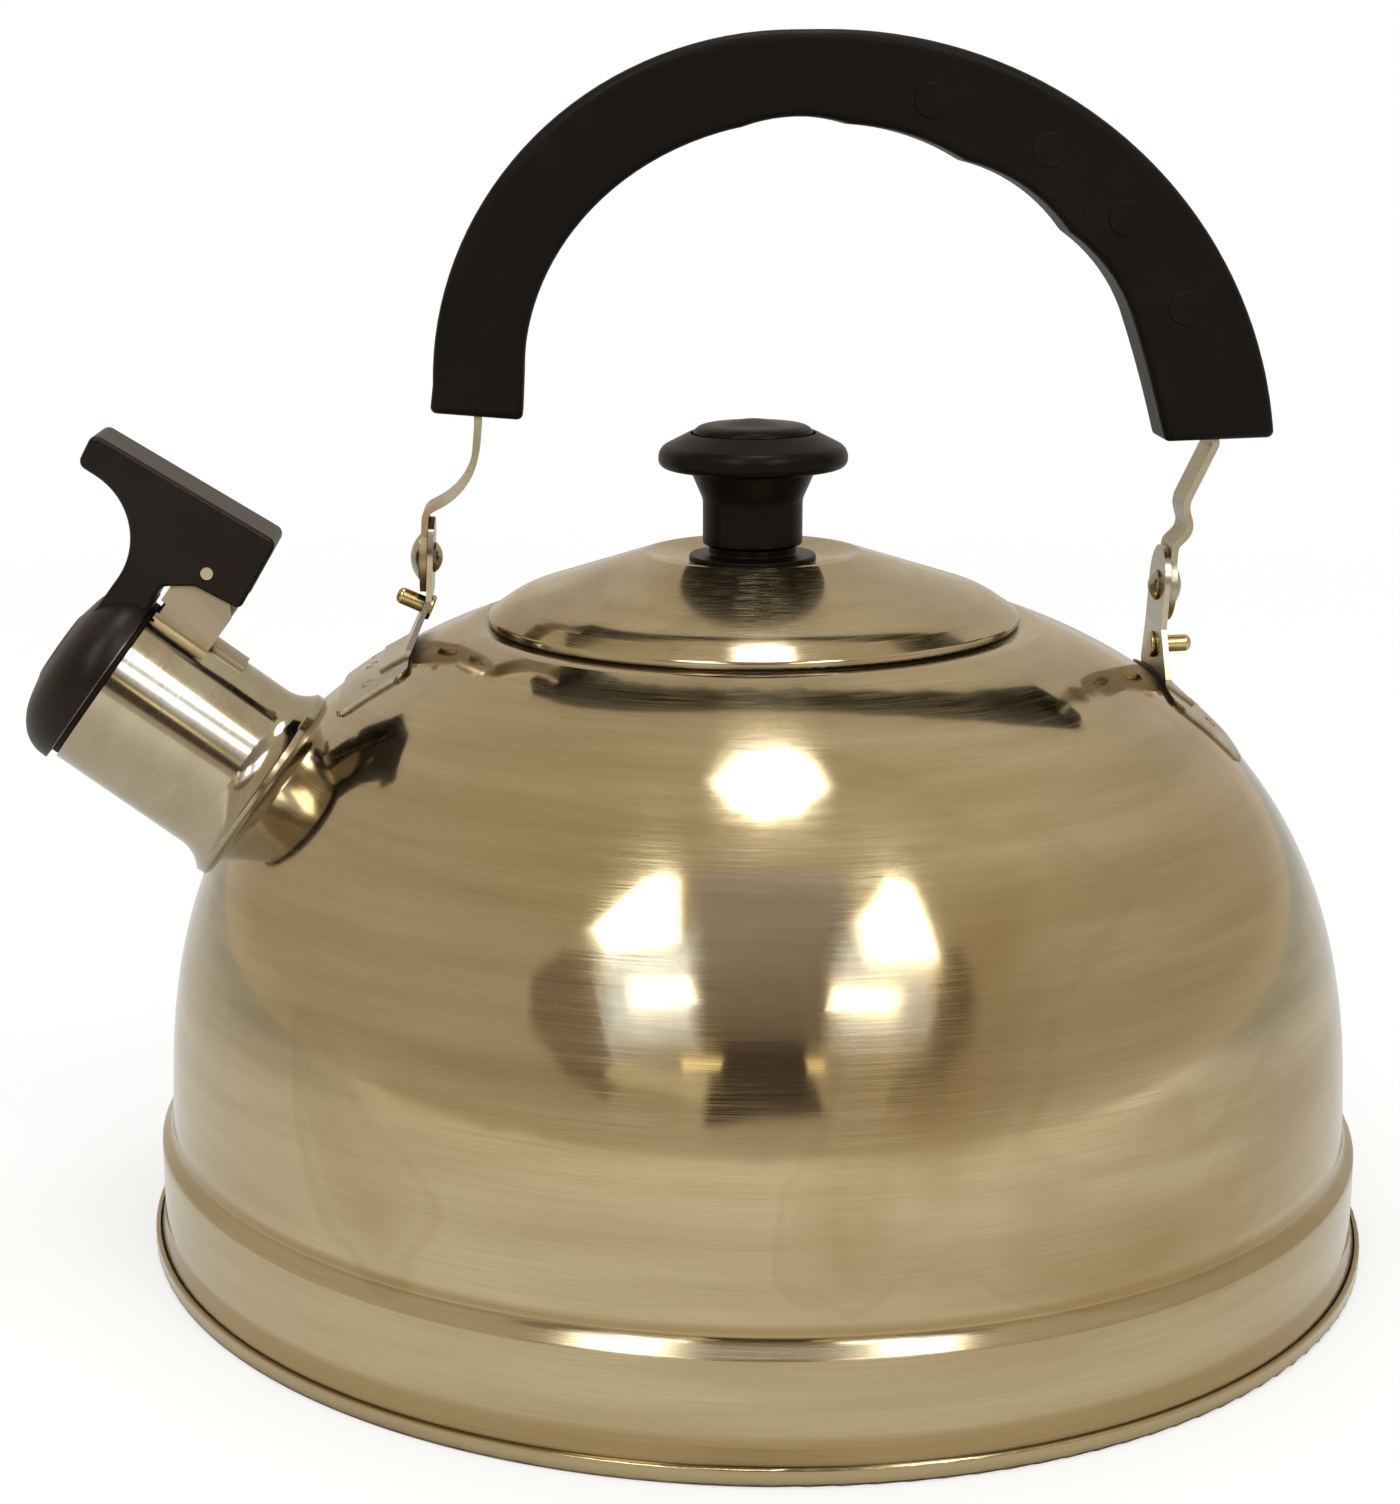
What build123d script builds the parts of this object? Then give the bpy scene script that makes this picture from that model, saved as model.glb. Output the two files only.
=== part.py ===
from build123d import *
from math import atan2, cos, hypot, radians, sin
import os

# Stovetop whistling kettle, in millimetres.
# The origin is the centre of the underside, +Z is up, the spout points to -X and the
# bail handle stands in the XZ plane.

# ---- driving dimensions -------------------------------------------------------------
FIT = 0.01  # clearance between pieces that are fixed together
PLAY = 0.06  # running clearance at the pivots

SHEET = 0.8  # body and spout sheet
BASE_R = 110.0  # outside of the crimped base rim
BASE_RIM_H = 3.0
PAN_T = 0.8
RIM_T = 0.8
BAND_R = 108.1  # straight band above the rim
BAND_TOP = 19.6
DOME_R = 105.8  # the dome where it would meet the band
DOME_FOOT = 20.0
DOME_H = 98.2
DOME_POWER_R = 0.90
DOME_POWER_Z = 0.76
DOME_STATIONS = 9

CROWN_R = 51.0  # where the dome rolls over into the flat seat for the lid
LEDGE_R = 48.8
LEDGE_Z = 110.7
NECK_R = 42.4
NECK_DEPTH = 6.5

SPOUT_ANGLE = 36.5  # above the horizontal
SPOUT_FOOT = (-88.45, 81.2)  # x and z of the foot's centre
SPOUT_LENGTH = 33.0
SPOUT_R = 16.6
SPOUT_FLANGE_R = 19.1
SPOUT_HOLE_R = 14.5
FLARE_H = 4.4
HEM_H = 1.3
HEM_T = 1.6
BURIED = 4.0  # how far the foot is drawn past the dome before it is trimmed

# Whistle: pairs are (across the spout axis, along it), from the mouth's centre.
BRACKET_T = 0.8
BRACKET_HALF_W = 5.7
BRACKET_FRONT = 0.6
BRACKET_STEP = -0.5  # the cheeks stand back from the mouth under the cap
BRACKET_BACK = -11.3
TONGUE_END = -18.2
TONGUE_HALF_W = 4.2
LEVER_PIN = (27.6, -3.3)
LEVER_PIN_R = 1.3
LEVER_HALF_W = 7.5
LEVER_WALL = 1.5
LEVER_ROUND = 0.9
LEVER_ROOF = 37.0
CAP_R = 17.8
CAP_BOTTOM = 1.35
CAP_H = 9.5
CAP_POWER = 2.5
CAP_WALL = 1.8
STEAM_HOLE_R = 2.3
PLATE_R = 16.3
PLATE_BOTTOM = 1.15
PLATE_TOP = 1.55
WHISTLE_HOLE_R = 1.5
CUP_R = 13.2
CUP_T = 0.4
CUP_FLOOR = -3.0
CUP_HOLES = 6
CUP_HOLE_R = 1.1
SEAL_R = 16.1
SEAL_GAP = 0.03
SPRING_R = 2.0
SPRING_WIRE = 0.55
SPRING_PITCH = 0.75
SPRING_START = -68.4
SPRING_TURNS = 2.895
SPRING_LEG_SADDLE = 11.7
SPRING_LEG_LEVER = 9.95

# Handle: pairs are (x, z).
PIVOT_LEFT = (-56.9, 122.4)  # the two handle pivots, in the tabs' mid-plane
PIVOT_RIGHT = (72.4, 116.0)
TAB_T = 1.0
TAB_W = 13.0
TAB_ROOT_W = 21.0
TAB_TOP = 7.2  # above the pivot
TAB_KINK = 6.9  # below the pivot, where the tab bends towards its root
TAB_FLARE = 15.0  # below the pivot, where the tab has its full root width
ROOT_R = {"left": 61.2, "right": 72.2}  # where each tab meets the dome
LEAF_T = 0.7
LEAF_LENGTH = 12.5
LEAF_HALF_W = 18.5
LEAF_CORNER = 2.5
STOP_DROP = {"left": 8.9, "right": 10.7}  # stop pin below the pivot
STOP_REACH = {"left": 5.0, "right": 5.6}
STOP_R = 1.5
STOP_HEAD_R = 2.3
STOP_HEAD_H = 0.8
STRAP_T = 1.2
STRAP_W = 9.0
EYE_R = 6.2
EYE_OFFSET = 1.17  # from the tab's mid-plane out to the strap's
RIVET_R = 2.0
HEAD_R = 4.0
HEAD_H = 1.9
TAIL_R = 2.65
TAIL_H = 1.5

GRIP_HALF_W = 6.5
GRIP_ROUND = 1.8
GRIP_C1 = (8.0, 155.0)  # centre of the grip's inner left ellipse
GRIP_C1_OUT = (5.6, 153.4)  # and of its outer left one
GRIP_C2 = (11.0, 135.0)  # centre of the outer right one
GRIP_OUTER_1 = (61.4, 58.7)
GRIP_INNER_1 = (47.9, 42.2)
GRIP_OUTER_2 = (79.5, 77.1)
GRIP_END_ANGLE = 5.7
GRIP_LEFT_OUT = (-56.4, 148.4)
GRIP_LEFT_IN = (-40.3, 147.0)
FIRST_CREST_ANGLE = 77.4
GRIP_CRESTS = [(15.9, 196.4), (35.5, 190.1), (53.5, 178.0), (64.4, 164.4), (71.2, 142.1)]
GRIP_HOLLOWS = [1.5, 1.3, 2.0, 1.3, 0.3]  # depth of the finger hollows between crests
CREST_R = 3.0
GRIP_CORNER = 1.1
GRIP_PIPS = [(29.4, 200.3), (49.4, 191.9), (62.8, 180.4), (73.6, 165.2)]
PIP_R = 3.0
PIP_H = 0.45
STRAP_LEFT_X = -48.2  # the strap's way through the grip
STRAP_TOP = (9.5, 204.8)
STRAP_RIGHT = (79.3, 145.0)
CHANNEL_PLAY = 0.05

LID_R = 46.9
LID_SHEET = 0.6
LID_GAP = 0.05
LID_EDGE_Z = 112.2  # top of the rolled rim
LID_BROW = (42.3, 115.35)  # where the lid's slope steepens towards its rim
LID_RIDGE = (18.9, 123.05)  # round the dished centre
LID_DISH = (12.4, 121.6)
LID_HOLE_R = 2.3
HEM_R = 44.5
SKIRT_R = 42.0
SKIRT_T = 0.5
SKIRT_DEPTH = 6.4

COLLAR_R = 11.2
COLLAR_T = 0.8
FOOT_R = 7.7  # waist between the collar and the stem
STEM_R = 8.8
STEM_FOOT = 124.0
KNOB_WAIST = 132.2  # height where the stem starts to flare
KNOB_R = 16.65
KNOB_UNDER = 137.8
KNOB_BROW = 141.2
KNOB_TOP = 144.1
INSERT_R = 10.5
INSERT_GROOVE = 0.5  # open ring between the insert and the knob's rim
INSERT_LAND = 2.0  # ring on which the insert rests, round the room for the screw
INSERT_SEAT = 142.2
WELL_DEPTH = 1.1
INSERT_CROWN = 146.3
SCREW_ROOM = 0.6
SCREW_R = 2.0
SCREW_HEAD_R = 3.8
SCREW_HEAD_H = 2.4
SCREW_SLOT = 1.1
WASHER_R = 6.0
WASHER_T = 0.8


# ---- shared geometry ----------------------------------------------------------------
def dome_point(turn, inset=0.0):
    """Radius and height on the dome, turn being 0 at its foot and 90 at the crown."""

    def surface(angle):
        radius = DOME_R * cos(radians(angle)) ** DOME_POWER_R
        height = DOME_FOOT + DOME_H * sin(radians(angle)) ** DOME_POWER_Z
        return radius, height

    step = 0.05
    before, after = surface(turn - step), surface(turn + step)
    along = (after[0] - before[0], after[1] - before[1])
    length = hypot(*along)
    radius, height = surface(turn)
    return radius - inset * along[1] / length, height + inset * along[0] / length


def turn_at(radius):
    """The dome's turn where its outside has this radius."""
    low, high = 1.0, 89.0
    while high - low > 1e-6:
        middle = (low + high) / 2
        if dome_point(middle)[0] > radius:
            low = middle
        else:
            high = middle
    return low


DOME_START = 4.0
DOME_END = turn_at(CROWN_R)


def dome_points(inset=0.0):
    """Evenly spaced points up the dome."""
    step = (DOME_END - DOME_START) / (DOME_STATIONS - 1)
    return [dome_point(DOME_START + step * i, inset) for i in range(DOME_STATIONS)]


def cap_points():
    """Points over the whistle cap, a superellipse from its edge to its crown."""
    points = []
    for angle in (0, 10, 25, 40, 55, 72, 90):
        across = max(cos(radians(angle)), 0) ** (2 / CAP_POWER)
        along = sin(radians(angle)) ** (2 / CAP_POWER)
        points.append((CAP_R * across, CAP_BOTTOM + CAP_H * along))
    return points


def away(start, direction, distance):
    """The point at a distance from start along a direction, both as pairs."""
    return start[0] + direction[0] * distance, start[1] + direction[1] * distance


def nearest_corner(sketch, point):
    """The sketch's corner closest to a point."""
    return sketch.vertices().sort_by_distance(point)[0]


axis_tilt = atan2(PIVOT_LEFT[1] - PIVOT_RIGHT[1], PIVOT_RIGHT[0] - PIVOT_LEFT[0])
along_pivots = (cos(axis_tilt), -sin(axis_tilt))  # from the left pivot to the right one
across_pivots = (sin(axis_tilt), cos(axis_tilt))  # up, square to the pivot line
pivot = {"left": PIVOT_LEFT, "right": PIVOT_RIGHT}
outward = {"left": (-along_pivots[0], -along_pivots[1]), "right": along_pivots}

spout_along = (-cos(radians(SPOUT_ANGLE)), sin(radians(SPOUT_ANGLE)))
mouth = away(SPOUT_FOOT, spout_along, SPOUT_LENGTH)
mouth_centre = Vector(mouth[0], 0, mouth[1])
spout_dir = Vector(spout_along[0], 0, spout_along[1])
spout_axis = Axis(mouth_centre, spout_dir)
# x runs across the mouth and up, y out along the spout, z to the front
mouth_plane = Plane(origin=mouth_centre, x_dir=(spout_along[1], 0, -spout_along[0]), z_dir=(0, -1, 0))
# square to the spout at its mouth, x running up
mouth_disc = Plane(origin=mouth_centre, x_dir=mouth_plane.x_dir, z_dir=spout_dir)
# looking down on the top of the spout: x along it, y across
tube_top = Plane(origin=mouth_centre + mouth_plane.x_dir * 10, x_dir=spout_dir, z_dir=mouth_plane.x_dir)

# ---- base and body ------------------------------------------------------------------
# The base is a shallow pan whose upright rim is crimped round the shell's lower edge.
with BuildPart() as base_pan:
    with BuildSketch(Plane.XZ):
        with BuildLine():
            rim_in = BASE_R - RIM_T
            FilletPolyline(
                (0, 0),
                (BASE_R, 0),
                (BASE_R, BASE_RIM_H),
                (rim_in, BASE_RIM_H),
                radius=(0.7, 0.35),
            )
            Polyline((rim_in, BASE_RIM_H), (rim_in, PAN_T), (0, PAN_T), (0, 0))
        make_face()
    revolve(axis=Axis.Z)

# The shell runs from the crimped edge up the band, over the shoulder bead and the dome,
# and down through the lid seat into the neck.
foot_out = dome_point(DOME_START)
foot_in = dome_point(DOME_START, SHEET)
shell_out = [
    (BASE_R - RIM_T, PAN_T),
    (BASE_R - RIM_T - 0.2, 2.6),
    (BAND_R, 6.2),
    (BAND_R, BAND_TOP),
    (foot_out[0] + 0.5, BAND_TOP + 2.4),
    foot_out,
]
shell_in = [(r - SHEET, z) for r, z in shell_out[:3]]
shell_in += [(r - SHEET, z - 0.4) for r, z in shell_out[3:5]]
shell_in += [foot_in]
seat_out = [
    (LEDGE_R, LEDGE_Z),
    (NECK_R, LEDGE_Z),
    (NECK_R, LEDGE_Z - NECK_DEPTH),
]
seat_in = [
    (LEDGE_R, LEDGE_Z - SHEET),
    (NECK_R + SHEET, LEDGE_Z - SHEET),
    (NECK_R + SHEET, LEDGE_Z - NECK_DEPTH),
]
with BuildPart() as body_shell:
    with BuildSketch(Plane.XZ):
        with BuildLine():
            FilletPolyline(*shell_out, radius=(1.5, 5.0, 0.9, 3.0))
            dome_out = Spline(*dome_points())
            TangentArc(dome_out @ 1, seat_out[0], tangent=dome_out % 1)
            FilletPolyline(*seat_out, radius=1.4)
            Line(seat_out[-1], seat_in[-1])
            FilletPolyline(*seat_in, radius=0.6)
            dome_in = Spline(*dome_points(SHEET))
            TangentArc(dome_in @ 1, seat_in[0], tangent=dome_in % 1)
            FilletPolyline(*shell_in, radius=(1.5, 5.0, 0.9, 3.0))
            Line(shell_in[0], shell_out[0])
        make_face()
    revolve(axis=Axis.Z)
    with BuildSketch(mouth_disc):
        Circle(SPOUT_HOLE_R)
    extrude(amount=-2 * SPOUT_LENGTH, mode=Mode.SUBTRACT)

# Everything inside the dome's outer surface, which trims whatever is welded on to it.
with BuildPart() as dome_envelope:
    with BuildSketch(Plane.XZ):
        with BuildLine():
            Spline(*dome_points())
            crown = dome_point(DOME_END)
            Polyline(crown, (0, crown[1]), (0, foot_out[1]), foot_out)
        make_face()
    revolve(axis=Axis.Z)

# ---- spout --------------------------------------------------------------------------
# A drawn tube with a trumpet foot that ends in a thin hem lying on the dome.
with BuildPart() as spout_tube:
    with BuildSketch(mouth_plane):
        with BuildLine():
            hem_top = HEM_H - SPOUT_LENGTH
            flare_top = hem_top + FLARE_H
            Polyline((SPOUT_R - SHEET, flare_top), (SPOUT_R - SHEET, 0), (SPOUT_R, 0), (SPOUT_R, flare_top))
            RadiusArc((SPOUT_R, flare_top), (SPOUT_FLANGE_R - 0.4, hem_top), -7.0)
            Polyline(
                (SPOUT_FLANGE_R - 0.4, hem_top),
                (SPOUT_FLANGE_R, hem_top - 0.3),
                (SPOUT_FLANGE_R, -SPOUT_LENGTH - BURIED),
                (SPOUT_FLANGE_R - HEM_T, -SPOUT_LENGTH - BURIED),
                (SPOUT_FLANGE_R - HEM_T, hem_top - 0.6),
            )
            RadiusArc((SPOUT_FLANGE_R - HEM_T, hem_top - 0.6), (SPOUT_R - SHEET, flare_top), 7.8)
        make_face()
    revolve(axis=spout_axis)
    add(dome_envelope.part, mode=Mode.SUBTRACT)

# ---- whistle bracket ----------------------------------------------------------------
# A saddle rolled to the tube carries two cheeks; its tongue is welded along the top.
with BuildPart() as saddle:
    with BuildSketch(mouth_disc):
        Circle(SPOUT_R + BRACKET_T)
        Circle(SPOUT_R, mode=Mode.SUBTRACT)
    extrude(amount=TONGUE_END)
    with BuildSketch(tube_top):
        with Locations(((BRACKET_FRONT + BRACKET_BACK) / 2, 0)):
            Rectangle(BRACKET_FRONT - BRACKET_BACK, 2 * BRACKET_HALF_W)
        with Locations(((BRACKET_BACK + TONGUE_END) / 2, 0)):
            RectangleRounded(2 * TONGUE_HALF_W + 3, 2 * TONGUE_HALF_W, 1.6)
    extrude(amount=SPOUT_R, mode=Mode.INTERSECT)

with BuildPart() as whistle_bracket:
    with BuildSketch(mouth_plane):
        with BuildLine():
            tip, tip_r = LEVER_PIN[0], BRACKET_FRONT - LEVER_PIN[1]
            Polyline(
                (tip, BRACKET_FRONT),
                (CAP_R + 0.8, BRACKET_FRONT),
                (CAP_R + 0.8, BRACKET_STEP),
                (0, BRACKET_STEP),
                (0, BRACKET_BACK),
                (tip - 4.5, BRACKET_BACK),
                (tip, LEVER_PIN[1] - tip_r),
            )
            ThreePointArc((tip, LEVER_PIN[1] - tip_r), (tip + tip_r, LEVER_PIN[1]), (tip, BRACKET_FRONT))
        make_face()
    extrude(amount=BRACKET_HALF_W, both=True)
    with BuildSketch(mouth_plane):
        Rectangle(4 * SPOUT_R, 4 * SPOUT_R)
    extrude(amount=BRACKET_HALF_W - BRACKET_T, both=True, mode=Mode.SUBTRACT)
    with BuildSketch(mouth_disc):
        Circle(SPOUT_R)
        with Locations((-SPOUT_R, 0)):
            Rectangle(2 * SPOUT_R, 2 * SPOUT_R)
    extrude(amount=-SPOUT_LENGTH, mode=Mode.SUBTRACT)
    add(saddle.part)
    with BuildSketch(mouth_plane):
        with Locations(LEVER_PIN):
            Circle(LEVER_PIN_R + PLAY)
    extrude(amount=LEVER_HALF_W, both=True, mode=Mode.SUBTRACT)

# ---- whistle lever ------------------------------------------------------------------
# One moulding: a thumb bar over two cheeks, a swept neck and a hollow round cap.
with BuildPart() as whistle_lever:
    with BuildSketch(mouth_plane):
        with BuildLine():
            FilletPolyline(
                (36.4, 26.6),
                (30.2, 25.7),
                (31.0, 8.8),
                (12.0, 9.0),
                (6.0, 9.6),
                (6.0, 3.0),
                (13.0, CAP_BOTTOM),
                (21.0, 1.8),
                (24.4, -2.8),
                (25.6, -11.6),
                (39.4, -10.2),
                radius=(1.6, 1.6, 12.6, 1.5, 1.0, 1.0, 1.0, 1.5, 2.5, 1.2, 1.6),
                close=True,
            )
        make_face()
    extrude(amount=LEVER_HALF_W, both=True)
    sides = whistle_lever.faces().filter_by(Axis.Y)
    fillet(sides.edges(), LEVER_ROUND)
    # the button over the mouth
    with BuildSketch(mouth_plane):
        with BuildLine():
            Spline(*cap_points(), tangents=[(0, 1), (-1, 0)])
            Polyline((0, CAP_BOTTOM + CAP_H), (0, CAP_BOTTOM), (CAP_R, CAP_BOTTOM))
        make_face()
    revolve(axis=spout_axis)
    with BuildSketch(mouth_plane):
        with BuildLine():
            FilletPolyline(
                (0, CAP_BOTTOM),
                (CAP_R - CAP_WALL, CAP_BOTTOM),
                (CAP_R - CAP_WALL - 0.2, 5.2),
                (11.0, CAP_BOTTOM + CAP_H - CAP_WALL),
                (0, CAP_BOTTOM + CAP_H - CAP_WALL),
                radius=(0.01, 2.5, 2.0),
            )
            Line((0, CAP_BOTTOM + CAP_H - CAP_WALL), (0, CAP_BOTTOM))
        make_face()
    revolve(axis=spout_axis, mode=Mode.SUBTRACT)
    with BuildSketch(mouth_disc):
        Circle(PLATE_R + 0.02)
    extrude(amount=PLATE_TOP + 0.02, mode=Mode.SUBTRACT)
    with BuildSketch(mouth_disc):
        Circle(STEAM_HOLE_R)
    extrude(amount=3 * CAP_H, mode=Mode.SUBTRACT)
    # the channel between the cheeks, and the cored underside of the thumb bar
    with BuildSketch(mouth_plane):
        Polygon((LEVER_ROOF, -14), (LEVER_ROOF - 0.7, 0.9), (21.5, 0.9), (19.0, -14), align=None)
    extrude(amount=LEVER_HALF_W - LEVER_WALL, both=True, mode=Mode.SUBTRACT)
    with BuildSketch(mouth_plane):
        Polygon((34.2, 13.8), (33.8, 24.6), (20.0, 24.6), (20.0, 13.8), align=None)
    extrude(amount=LEVER_HALF_W - LEVER_WALL, both=True, mode=Mode.SUBTRACT)
    with BuildSketch(mouth_plane):
        with Locations(LEVER_PIN):
            Circle(LEVER_PIN_R + FIT)
    extrude(amount=LEVER_HALF_W + 1, both=True, mode=Mode.SUBTRACT)

with BuildPart() as lever_pin:
    with BuildSketch(mouth_plane):
        with Locations(LEVER_PIN):
            Circle(LEVER_PIN_R)
    extrude(amount=LEVER_HALF_W, both=True)
    chamfer(lever_pin.edges(), 0.2)

# The whistle itself: a plate under the cap, a pierced cup on it and a seal for the mouth.
with BuildPart() as whistle_plate:
    with BuildSketch(mouth_disc.offset(PLATE_BOTTOM)):
        Circle(PLATE_R)
        Circle(WHISTLE_HOLE_R, mode=Mode.SUBTRACT)
    extrude(amount=PLATE_TOP - PLATE_BOTTOM)

with BuildPart() as whistle_cup:
    with BuildSketch(mouth_plane):
        with BuildLine():
            FilletPolyline((0, CUP_FLOOR), (CUP_R, CUP_FLOOR), (CUP_R, PLATE_BOTTOM - FIT), radius=1.2)
            Polyline((CUP_R, PLATE_BOTTOM - FIT), (CUP_R - CUP_T, PLATE_BOTTOM - FIT))
            FilletPolyline((CUP_R - CUP_T, PLATE_BOTTOM - FIT), (CUP_R - CUP_T, CUP_FLOOR + CUP_T),
                           (0, CUP_FLOOR + CUP_T), radius=0.8)
            Line((0, CUP_FLOOR + CUP_T), (0, CUP_FLOOR))
        make_face()
    revolve(axis=spout_axis)
    with BuildSketch(mouth_disc.offset(CUP_FLOOR)):
        Circle(WHISTLE_HOLE_R)
        with PolarLocations(CUP_R * 0.6, CUP_HOLES):
            Circle(CUP_HOLE_R)
    extrude(amount=2, both=True, mode=Mode.SUBTRACT)

with BuildPart() as whistle_seal:
    with BuildSketch(mouth_plane):
        with Locations(((CUP_R + SEAL_R) / 2 + FIT, (PLATE_BOTTOM + SEAL_GAP) / 2)):
            RectangleRounded(SEAL_R - CUP_R - FIT, PLATE_BOTTOM - SEAL_GAP - FIT, 0.3)
    revolve(axis=spout_axis)

# A torsion spring round the pin, one leg on the saddle and one under the thumb bar.
spring_plane = Plane(
    origin=mouth_plane.from_local_coords((LEVER_PIN[0], LEVER_PIN[1], -SPRING_PITCH * SPRING_TURNS / 2)),
    x_dir=mouth_plane.x_dir,
    z_dir=mouth_plane.z_dir,
)
with BuildLine() as spring_wire:
    coil = Helix(SPRING_PITCH, SPRING_PITCH * SPRING_TURNS, SPRING_R)
    Line(coil @ 0, coil @ 0 - coil % 0 * SPRING_LEG_SADDLE)
    Line(coil @ 1, coil @ 1 + coil % 1 * SPRING_LEG_LEVER)
turned = Location((0, 0, 0), (0, 0, SPRING_START))
spring_path = spring_wire.wire().moved(spring_plane.location * turned)
with BuildPart() as lever_spring:
    with BuildSketch(Plane(spring_path @ 0, z_dir=spring_path % 0)):
        Circle(SPRING_WIRE / 2)
    sweep(path=spring_path)

# ---- handle brackets and stop pins --------------------------------------------------
# Identical stampings: a round-topped tab for the pivot, bent over at its root into a
# leaf that is spot-welded to the dome.
with BuildPart() as leaf_ring:
    with BuildSketch(Plane.XZ):
        with BuildLine():
            low, high = turn_at(ROOT_R["right"] + LEAF_LENGTH + 6), turn_at(ROOT_R["left"] - 4)
            outer = [dome_point(low + (high - low) * i / 5, -LEAF_T) for i in range(6)]
            inner = [dome_point(low + (high - low) * i / 5, LEAF_T) for i in range(6)]
            Spline(*outer)
            Line(outer[-1], inner[-1])
            Spline(*inner)
            Line(inner[0], outer[0])
        make_face()
    revolve(axis=Axis.Z)


def leaf_blank(side):
    """The leaf, cut from the ring that lies on the dome."""
    sign = 1 if side == "right" else -1
    first = ROOT_R[side] - TAB_T / 2
    with BuildPart() as blank:
        with BuildSketch(Plane.XY):
            with Locations((sign * (first + LEAF_LENGTH / 2), 0)):
                RectangleRounded(LEAF_LENGTH, 2 * LEAF_HALF_W, LEAF_CORNER)
        extrude(amount=2 * LEDGE_Z)
        add(leaf_ring.part, mode=Mode.INTERSECT)
    return blank.part


def tab_middle(side):
    """Corners of the tab's mid-line, from its top down to the leaf."""
    sign = 1 if side == "right" else -1
    root = dome_point(turn_at(ROOT_R[side]), -LEAF_T / 2)
    along_leaf = dome_point(turn_at(ROOT_R[side] + 4.5), -LEAF_T / 2)
    return [
        away(pivot[side], across_pivots, TAB_TOP),
        away(pivot[side], across_pivots, -TAB_KINK),
        (sign * root[0], root[1]),
        (sign * along_leaf[0], along_leaf[1]),
    ]


def stop_pin_plane(side):
    """Plane through the stop pin's axis: x out of the tab, origin in the tab's middle."""
    top, kink, root, leaf = tab_middle(side)
    length = hypot(root[0] - kink[0], root[1] - kink[1])
    down = ((root[0] - kink[0]) / length, (root[1] - kink[1]) / length)
    centre = away(kink, down, STOP_DROP[side] - TAB_KINK)
    sign = 1 if side == "right" else -1
    return Plane(
        origin=(centre[0], 0, centre[1]), x_dir=(-sign * down[1], 0, sign * down[0]), z_dir=(0, -1, 0)
    )


def handle_bracket(side):
    """The bracket on one side of the lid."""
    leaf = leaf_blank(side)
    face_on = Plane(
        origin=(pivot[side][0], 0, pivot[side][1]),
        x_dir=(0, 1, 0),
        z_dir=(along_pivots[0], 0, along_pivots[1]),
    )
    with BuildPart() as bracket:
        with BuildSketch(Plane.XZ):
            with BuildLine() as middle:
                FilletPolyline(*tab_middle(side), radius=(2.0, 1.6))
            trace(middle.line, TAB_T)
        extrude(amount=TAB_ROOT_W / 2, both=True)
        with BuildSketch(face_on):
            half = TAB_W / 2
            with Locations((0, TAB_TOP - half)):
                Circle(half)
            Polygon(
                (half, TAB_TOP - half),
                (half, -TAB_KINK),
                (TAB_ROOT_W / 2, -TAB_FLARE),
                (TAB_ROOT_W / 2, -3 * TAB_FLARE),
                (-TAB_ROOT_W / 2, -3 * TAB_FLARE),
                (-TAB_ROOT_W / 2, -TAB_FLARE),
                (-half, -TAB_KINK),
                (-half, TAB_TOP - half),
                align=None,
            )
        extrude(amount=4 * TAB_W, both=True, mode=Mode.INTERSECT)
        add(leaf)
        add(dome_envelope.part, mode=Mode.SUBTRACT)
        with BuildSketch(face_on):
            Circle(RIVET_R + PLAY)
        extrude(amount=3 * TAB_T, both=True, mode=Mode.SUBTRACT)
        pin = stop_pin_plane(side)
        with BuildSketch(Plane(origin=pin.origin, z_dir=pin.x_dir)):
            Circle(STOP_R + FIT)
        extrude(amount=3 * TAB_T, both=True, mode=Mode.SUBTRACT)
    return bracket.part


def stop_pin(side):
    """A brass pin riveted through the tab, with a rounded outer end."""
    plane = stop_pin_plane(side)
    back = -TAB_T / 2
    with BuildPart() as pin:
        with BuildSketch(plane):
            with BuildLine():
                FilletPolyline(
                    (back - STOP_HEAD_H, 0),
                    (back - STOP_HEAD_H, STOP_HEAD_R),
                    (back - FIT, STOP_HEAD_R),
                    (back - FIT, STOP_R),
                    (STOP_REACH[side] + TAB_T / 2, STOP_R),
                    (STOP_REACH[side] + TAB_T / 2, 0),
                    radius=(0.4, 0.1, 0.02, 1.1),
                )
                Line((STOP_REACH[side] + TAB_T / 2, 0), (back - STOP_HEAD_H, 0))
            make_face()
        revolve(axis=Axis(plane.origin, plane.x_dir))
    return pin.part


# ---- handle strap and rivets --------------------------------------------------------
def strap_line():
    """The strap's mid-line from the left eye, through the grip, to the right eye."""
    left_eye = away(PIVOT_LEFT, outward["left"], EYE_OFFSET)
    right_eye = away(PIVOT_RIGHT, outward["right"], EYE_OFFSET)
    with BuildLine() as line:
        left = FilletPolyline(
            left_eye,
            away(left_eye, across_pivots, 8.5),
            (-49.2, 135.3),
            (STRAP_LEFT_X, 146.0),
            (STRAP_LEFT_X, GRIP_C1[1]),
            radius=(2.2, 12.0, 8.0),
        )
        rise = TangentArc(left @ 1, STRAP_TOP, tangent=left % 1)
        fall = TangentArc(rise @ 1, STRAP_RIGHT, tangent=rise % 1)
        FilletPolyline(
            fall @ 1,
            fall @ 1 + fall % 1 * 3.6,
            (75.4, 130.8),
            (76.7, 126.3),
            away(right_eye, across_pivots, 7.6),
            right_eye,
            radius=(1.5, 4.0, 3.0, 2.0),
        )
    return line.wire()


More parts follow.
